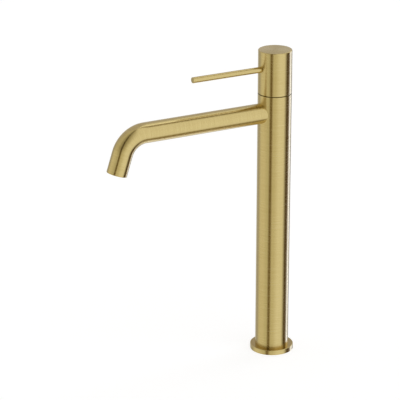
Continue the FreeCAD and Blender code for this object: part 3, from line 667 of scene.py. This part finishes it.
def dress_faces(piece: bpy.types.Object, finish: Finish,
                chosen: Callable[[bpy.types.MeshPolygon], bool]) -> None:
    """Give some faces of a piece a finish of their own.

    Args:
        piece: Finished piece.
        finish: Finish of the chosen faces.
        chosen: Test of a face.
    """
    number = len(piece.data.materials)
    piece.data.materials.append(finish.material())
    for face in piece.data.polygons:
        if chosen(face):
            face.material_index = number


def settle(piece: bpy.types.Object, body: Body, slot: Slot, node: str) -> None:
    """Put a finished piece on its body in place of a CAD node.

    Args:
        piece: Finished piece.
        body: Body that it rides on.
        slot: Material slot of its finish; not used.
        node: CAD node that it stands for.
    """
    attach(piece, body.value)
    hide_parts(node)
    LOG.info("%s: %d faces on %s for %s", piece.name, len(piece.data.polygons), body.value, node)


@dataclass
class Column:
    """Column and foot."""

    wall: float = 0.002
    seam_height: float = 0.0009
    dome_steps: int = 5
    foot_round: float = 0.0007
    foot_steps: int = 5
    gasket_width: float = 0.003
    sides: int = 192
    radius: float = field(init=False)
    height: float = field(init=False)
    seat: float = field(init=False)
    pivot: float = field(init=False)

    def __post_init__(self) -> None:
        """Read the sizes that the frame gives."""
        self.radius = half_width("column_tube")
        self.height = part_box("handle_cap")[0].z - self.seam_height
        self.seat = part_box("column_tube")[0].z
        self.pivot = joint_height("lever_lift")

    @property
    def bore(self) -> float:
        """Inner radius of the column."""
        return self.radius - self.wall

    @property
    def dome(self) -> float:
        """Radius of the domed end, about the axis on which the handle tilts."""
        return math.hypot(self.radius, self.height - self.pivot)

    def sphere_height(self, sphere: float, radius: float) -> float:
        """Height, at a radius from Z, of a sphere about the axis on which the handle tilts."""
        return self.pivot + math.sqrt(sphere ** 2 - radius ** 2)

    def build(self) -> None:
        """Model the column and its foot ring."""
        self.build_column()
        self.build_foot()

    def build_column(self) -> None:
        """Model the column: straight tube with a domed end."""
        corners = [(self.bore, self.seat), (self.radius, self.seat)]
        for step in range(self.dome_steps + 1):
            radius = self.radius - self.wall * step / self.dome_steps
            corners.append((radius, self.sphere_height(self.dome, radius)))
        model = Modeller("column_shell", self.sides)
        model.turn_ring(corners)
        model.close()
        piece = model.finish(BRUSHED_BRASS, round_grain)
        # Painted shade: the domed end inside the seam is painted dark.
        dress_faces(piece, PAINTED_SEAM_SHADE, lambda face: face.center.z > self.height)
        settle(piece, Body.COLUMN, Slot.BRUSHED_BRASS, "column_tube")

    def build_foot(self) -> None:
        """Model the foot ring with its rounded upper edge and the groove of the gasket."""
        low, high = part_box("base_flange")
        rim = half_width("base_flange")
        gasket = half_width("base_gasket")
        groove_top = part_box("base_gasket")[1].z
        groove_outer = gasket + FIT_GAP
        groove_inner = gasket - self.gasket_width - FIT_GAP
        margin = self.foot_round * EDGE_SHARE

        def on_upper_rim(point: Vector) -> bool:
            """Whether a point lies on the upper outer edge."""
            return point.z > high.z - margin and point.xy.length > rim - margin

        model = Modeller("foot_ring", self.sides)
        model.turn_ring([
            (self.bore, low.z),
            (groove_inner, low.z),
            (groove_inner, groove_top),
            (groove_outer, groove_top),
            (groove_outer, low.z),
            (rim, low.z),
            (rim, high.z),
            (self.radius, high.z),
            (self.radius, self.seat),
            (self.bore, self.seat),
        ])
        model.close()
        model.round_edges(self.foot_round, self.foot_steps, on_upper_rim)
        piece = model.finish(BRUSHED_BRASS, round_grain)
        # Painted shade: the upper ledge and its rounded edge are painted darker than the rest of the foot.
        dress_faces(piece, PAINTED_LEDGE_SHADE, lambda face: face.center.z > high.z - margin)
        settle(piece, Body.COLUMN, Slot.BRUSHED_BRASS, "base_flange")


@dataclass
class Spout:
    """Bent spout tube."""

    wall: float = 0.0015
    straight: float = 0.145
    bend_radius: float = 0.0255
    bend_angle: float = math.radians(72)
    bend_steps: int = 40
    end_length: float = 0.021
    mouth_depth: float = 0.0115
    rim_round: float = 0.0004
    rim_steps: int = 4
    sides: int = 128
    radius: float = field(init=False)
    height: float = field(init=False)

    def __post_init__(self) -> None:
        """Read the sizes that the frame gives."""
        self.radius = half_width("spout_tube")
        self.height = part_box("spout_tube")[1].z - self.radius

    @property
    def outlet(self) -> Vector:
        """Direction in which the outlet points."""
        return Vector((0.0, -math.cos(self.bend_angle), -math.sin(self.bend_angle)))

    @property
    def bend_centre(self) -> Vector:
        """Centre of the bend."""
        return Vector((0.0, -self.straight, self.height - self.bend_radius))

    @property
    def tip(self) -> Vector:
        """Centre of the outlet's rim."""
        arm = Matrix.Rotation(self.bend_angle, 3, "X") @ Vector((0.0, 0.0, self.bend_radius))
        return self.bend_centre + arm + self.outlet * self.end_length

    def grain(self, point: Vector) -> Point:
        """Brush pattern that follows the bend: lines run round the tube.

        Args:
            point: Place on the tube.

        Returns:
            The place across the tube and along it.
        """
        arm = point - self.bend_centre
        angle = math.atan2(-arm.y, arm.z)
        if point.y > -self.straight:
            return (point.x, point.z - self.height, -point.y)
        if angle < self.bend_angle:
            reach = math.hypot(arm.y, arm.z) - self.bend_radius
            return (point.x, reach, self.straight + angle * self.bend_radius)
        past = arm.dot(self.outlet)
        across = arm.dot(Vector((0.0, -math.sin(self.bend_angle), math.cos(self.bend_angle))))
        length = self.straight + self.bend_angle * self.bend_radius + past
        return (point.x, across - self.bend_radius, length)

    def build(self) -> None:
        """Model the tube from inside the column to the rim and back through its bore."""
        root = Vector((0.0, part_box("spout_tube")[1].y, self.height))
        run = Vector((0.0, -self.straight - root.y, 0.0))
        outlet = self.outlet
        tip = self.tip
        stop = tip - outlet * self.mouth_depth
        mouth = half_width("aerator_housing")
        bore = self.radius - self.wall
        model = Modeller("spout_shell", self.sides)
        model.start_ring(self.radius, root, RingAxis.Y)
        model.extrude(run)
        model.spin(self.bend_centre, -self.bend_angle, self.bend_steps)
        model.extrude(outlet * self.end_length)
        model.ledge(mouth / self.radius, tip)
        model.extrude(-outlet * self.mouth_depth)
        model.ledge(bore / mouth, stop)
        model.extrude(-outlet * (self.end_length - self.mouth_depth))
        model.spin(self.bend_centre, self.bend_angle, self.bend_steps)
        model.extrude(-run)
        model.ledge(self.radius / bore, root)
        model.close()
        margin = self.rim_round * EDGE_SHARE
        model.round_edges(
            self.rim_round, self.rim_steps, lambda point: abs((point - tip).dot(outlet)) < margin)
        piece = model.finish(TUBE_BRASS, self.grain)
        settle(piece, Body.COLUMN, Slot.BRUSHED_BRASS, "spout_tube")


@dataclass
class Handle:
    """Cap and lever."""

    wall: float = 0.0025
    roof: float = 0.004
    crown: float = 0.0003
    crown_steps: int = 6
    top_round: float = 0.0008
    top_steps: int = 5
    rim_bevel: float = 0.0004
    seat_gap: float = 0.00035
    seat_steps: int = 5
    hub_radius: float = 0.008
    hub_clearance: float = 0.0013
    cap_sides: int = 192
    lever_seat: float = 0.005
    lever_thread: float = 0.0042
    tip_bevel: float = 0.0005
    tip_steps: int = 4
    lever_sides: int = 96

    def build(self, column: Column) -> None:
        """Model the cap and the lever on a column."""
        self.build_cap(column)
        self.build_lever(column)

    def build_cap(self, column: Column) -> None:
        """Model the hollow cap with its hub and its hollow seat.

        Args:
            column: Column that the cap rides over.
        """
        low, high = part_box("handle_cap")
        seat = column.dome + self.seat_gap
        rim = math.sqrt(seat ** 2 - (low.z - column.pivot) ** 2)
        bore = column.radius - self.wall
        cavity_top = high.z - self.roof
        hub_end = column.pivot + seat + self.hub_clearance
        corners = [(self.hub_radius, hub_end), (self.hub_radius, cavity_top), (bore, cavity_top)]
        for step in range(self.seat_steps + 1):
            radius = bore + (rim - bore) * step / self.seat_steps
            corners.append((radius, column.sphere_height(seat, radius)))
        corners.append((column.radius, low.z + self.rim_bevel))
        for step in range(self.crown_steps):
            share = 1 - step / self.crown_steps
            corners.append((column.radius * share, high.z - self.crown * share ** 2))
        brim = high.z - self.crown - self.top_round
        edge = column.radius - self.top_round * EDGE_SHARE

        def on_top_rim(point: Vector) -> bool:
            """Whether a point lies on the upper outer edge."""
            return point.z > brim and point.xy.length > edge

        model = Modeller("cap_shell", self.cap_sides)
        model.turn_block(corners)
        model.close()
        model.round_edges(self.top_round, self.top_steps, on_top_rim)
        piece = model.finish(BRUSHED_BRASS, round_grain)
        settle(piece, Body.HANDLE, Slot.BRUSHED_BRASS, "handle_cap")

    def build_lever(self, column: Column) -> None:
        """Model the lever rod with its spigot and its bevelled tip.

        Args:
            column: Column whose radius the cap has.
        """
        low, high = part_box("lever_pin")
        radius = half_width("lever_pin")
        spigot = self.lever_thread / 2 - FIT_GAP
        height = (high.z + low.z) / 2
        shoulder = self.lever_seat - column.radius
        margin = self.tip_bevel * EDGE_SHARE

        def grain(point: Vector) -> Point:
            """Brush lines round the lever."""
            return (point.x, point.z - height, -point.y - math.hypot(point.x, point.z - height))

        model = Modeller("lever_rod", self.lever_sides)
        model.start_ring(spigot, (0.0, high.y, height), RingAxis.Y)
        model.close_end()
        model.extrude((0.0, shoulder - high.y, 0.0))
        model.ledge(radius / spigot, (0.0, shoulder, height))
        model.extrude((0.0, low.y - shoulder, 0.0))
        model.close_end()
        model.close()
        model.round_edges(self.tip_bevel, self.tip_steps, lambda point: point.y < low.y + margin)
        piece = model.finish(TUBE_BRASS, grain)
        settle(piece, Body.HANDLE, Slot.BRUSHED_BRASS, "lever_pin")


@dataclass(frozen=True)
class Panel:
    """A stretch of one light in the tent, between two headings from the camera, right of it positive."""

    name: str
    start: float
    end: float
    colour: Colour

    def stops(self) -> list[tuple[float, Colour]]:
        """Both ends of the stretch as stops of a colour ramp that goes once round."""
        return [((heading + HALF_TURN) / FULL_TURN, self.colour) for heading in (self.start, self.end)]


# Lights below the mixer, level with it and above it; neighbours fade into each other.
FLOOR_PANELS = (
    Panel("floor on the left", -180, -40, (0.74, 0.73, 0.68)),
    Panel("floor in front", 0, 60, (0.90, 0.91, 0.93)),
    Panel("gap on the right", 79, 96, (0.27, 0.21, 0.09)),
    Panel("floor behind", 118, 150, (1.10, 1.15, 1.45)),
    Panel("floor on the left", 178, 180, (0.74, 0.73, 0.68)),
)
LOW_PANELS = (
    Panel("wall behind", -180, -150, (0.66, 0.67, 0.71)),
    Panel("room behind", -136, -124, (0.45, 0.45, 0.465)),
    Panel("left screen", -98, -64, (0.79, 0.775, 0.725)),
    Panel("left screen's near edge", -48, -37, (0.68, 0.675, 0.60)),
    Panel("gap left of the lens", -27, -19, (0.165, 0.11, 0.03)),
    Panel("right screen's near edge", -9, 4, (0.71, 0.695, 0.61)),
    Panel("right screen", 34, 69, (0.93, 0.945, 0.98)),
    Panel("gap on the right", 90, 100, (0.075, 0.045, 0.008)),
    Panel("strip lamp's dim side", 110, 114, (0.20, 0.17, 0.16)),
    Panel("strip lamp", 130, 137, (1.66, 1.88, 3.10)),
    Panel("room behind", 144, 155, (0.34, 0.34, 0.36)),
    Panel("wall behind", 179, 180, (0.66, 0.67, 0.71)),
)
HIGH_PANELS = (
    Panel("ceiling behind", -180, -120, (0.53, 0.515, 0.55)),
    Panel("left screen", -98, -72, (0.60, 0.585, 0.53)),
    Panel("left screen's near edge", -48, -38, (0.42, 0.40, 0.33)),
    Panel("gap left of the lens", -27, -20, (0.06, 0.04, 0.01)),
    Panel("right screen's near edge", -9, 0, (0.44, 0.42, 0.34)),
    Panel("right screen", 36, 80, (0.89, 0.895, 0.92)),
    Panel("gap on the right", 98, 110, (0.22, 0.17, 0.055)),
    Panel("strip lamp's upper end", 127, 136, (1.20, 1.22, 1.30)),
    Panel("ceiling lamp", 146, 160, (0.85, 0.86, 0.89)),
    Panel("ceiling behind", 172, 180, (0.53, 0.515, 0.55)),
)


@dataclass
class Studio:
    """White floor, a tent of light round it and the camera."""

    camera_azimuth: float = 59.49
    camera_distance: float = 1.9512
    camera_height: float = 0.875
    camera_yaw: float = 2.18
    camera_pitch: float = 20.085
    focal_length: float = 184.5
    view_limit: float = 100.0
    floor_size: float = 60.0
    floor_drop: float = 0.0001
    floor_colour: Colour = (0.35, 0.35, 0.35)
    floor_glow: float = 0.8
    backdrop_colour: Colour = (1.0, 1.0, 1.0)
    tent_radius: float = 45.0
    tent_segments: int = 64
    tent_rings: int = 32
    tent_start: float = 1.5
    floor_fade: tuple[float, float] = (-0.8, -0.6)
    high_fade: tuple[float, float] = (-0.05, 0.45)

    def build(self) -> None:
        """Set the stage."""
        self.build_floor()
        self.build_tent()
        self.build_backdrop()
        self.build_camera()
        bpy.context.scene.view_settings.view_transform = "Standard"

    def build_camera(self) -> None:
        """Place the camera where the photograph was taken."""
        data = bpy.data.cameras.new("camera")
        data.lens = self.focal_length
        data.clip_end = self.view_limit
        camera = bpy.data.objects.new("camera", data)
        bpy.context.collection.objects.link(camera)
        azimuth = math.radians(self.camera_azimuth)
        camera.location = (
            self.camera_distance * math.sin(azimuth),
            -self.camera_distance * math.cos(azimuth),
            self.camera_height,
        )
        tilt = math.radians(RIGHT_ANGLE - self.camera_pitch)
        heading = math.radians(self.camera_azimuth + self.camera_yaw)
        camera.rotation_euler = (tilt, 0.0, heading)
        bpy.context.scene.camera = camera

    @staticmethod
    def stage(name: str) -> tuple[bpy.types.Object, Graph]:
        """Name the primitive just added, make it part of the stage and start its material.

        Args:
            name: Name of the object and its material.

        Returns:
            The object and the empty node tree of its material.
        """
        item = bpy.context.object
        item.name = name
        material, graph = new_material(name)
        item.data.materials.append(material)
        LOG.info("%s: stage", name)
        return item, graph

    def build_floor(self) -> None:
        """Lay a white floor that keeps a soft shadow and can be looked through from below."""
        bpy.ops.object.select_all(action="DESELECT")
        bpy.ops.mesh.primitive_plane_add(size=self.floor_size, location=(0.0, 0.0, -self.floor_drop))
        floor, graph = self.stage("white_floor")
        floor.visible_glossy = False
        matt = graph.node("ShaderNodeBsdfDiffuse", {}, {"Color": self.floor_colour})
        glow = graph.node("ShaderNodeEmission", {}, {"Strength": self.floor_glow})
        both = graph.node("ShaderNodeAddShader", {}, {0: matt.outputs[0], 1: glow.outputs[0]})
        clear = graph.node("ShaderNodeBsdfTransparent", {}, {})
        below = graph.node("ShaderNodeNewGeometry", {}, {}).outputs["Backfacing"]
        sides = graph.node("ShaderNodeMixShader", {}, {0: below, 1: both.outputs[0], 2: clear.outputs[0]})
        graph.node("ShaderNodeOutputMaterial", {}, {"Surface": sides.outputs[0]})

    def build_tent(self) -> None:
        """Hang broad lights and the dark gaps between them round the mixer, out of the camera's sight."""
        bpy.ops.object.select_all(action="DESELECT")
        bpy.ops.mesh.primitive_uv_sphere_add(
            segments=self.tent_segments, ring_count=self.tent_rings, radius=self.tent_radius)
        tent, graph = self.stage("light_tent")
        tent.visible_camera = False
        axes = graph.node("ShaderNodeSeparateXYZ", {}, {"Vector": graph.place()})
        x, y, z = (Shade(graph, output) for output in axes.outputs)
        turn = y.angle_from(x) / math.tau
        # The camera's own heading falls in the middle of the ramps, after one whole turn.
        camera_turn = (self.camera_azimuth - RIGHT_ANGLE) / FULL_TURN
        heading = (turn + (self.tent_start - camera_turn)).fraction()
        floor = self.ring(graph, heading, FLOOR_PANELS)
        low = self.ring(graph, heading, LOW_PANELS)
        high = self.ring(graph, heading, HIGH_PANELS)
        level = graph.blend(self.fade(graph, z, *self.floor_fade), floor, low)
        level = graph.blend(self.fade(graph, z, *self.high_fade), level, high)
        light = graph.node("ShaderNodeEmission", {}, {"Color": level})
        graph.node("ShaderNodeOutputMaterial", {}, {"Surface": light.outputs[0]})

    @staticmethod
    def ring(graph: Graph, heading: Shade, panels: Sequence[Panel]) -> bpy.types.NodeSocket:
        """Hang one ring of panels.

        Args:
            graph: Tree of the tent's material.
            heading: Heading as a share of a turn.
            panels: Panels of the ring from left to right.

        Returns:
            The colour at the heading.
        """
        LOG.info("light_tent: %s", ", ".join(panel.name for panel in panels))
        stops = [stop for panel in panels for stop in panel.stops()]
        return graph.node("ShaderNodeValToRGB", {"stops": stops}, {"Fac": heading}).outputs[0]

    def fade(self, graph: Graph, height: Shade, start: float, end: float) -> Shade:
        """Smooth step between two heights, given as shares of the tent's radius."""
        sockets = {"Value": height / self.tent_radius, "From Min": start, "From Max": end}
        return graph.shade("ShaderNodeMapRange", {"interpolation_type": "SMOOTHSTEP"}, sockets)

    def build_backdrop(self) -> None:
        """Put plain white behind everything."""
        world = bpy.data.worlds.new("white_backdrop")
        world.use_nodes = True
        bpy.context.scene.world = world
        graph = Graph(world.node_tree)
        white = graph.node("ShaderNodeBackground", {}, {"Color": self.backdrop_colour})
        graph.node("ShaderNodeOutputWorld", {}, {"Surface": white.outputs[0]})


def dress_nodes() -> None:
    """Give every CAD node the finish of its slot."""
    for part in frame["record"]["subparts"]:
        finish = FINISHES[Slot(part["material_slot"])]
        frame["nodes"][part["node"]].data.materials[0] = finish.material()
        LOG.info("%s: %s", part["node"], finish.name)


def main() -> None:
    """Build the scene in order."""
    logging.basicConfig(level=logging.INFO, format="%(name)s %(message)s")
    dress_nodes()
    column = Column()
    column.build()
    Spout().build()
    Handle().build(column)
    Studio().build()


if __name__ == "__main__":
    main()
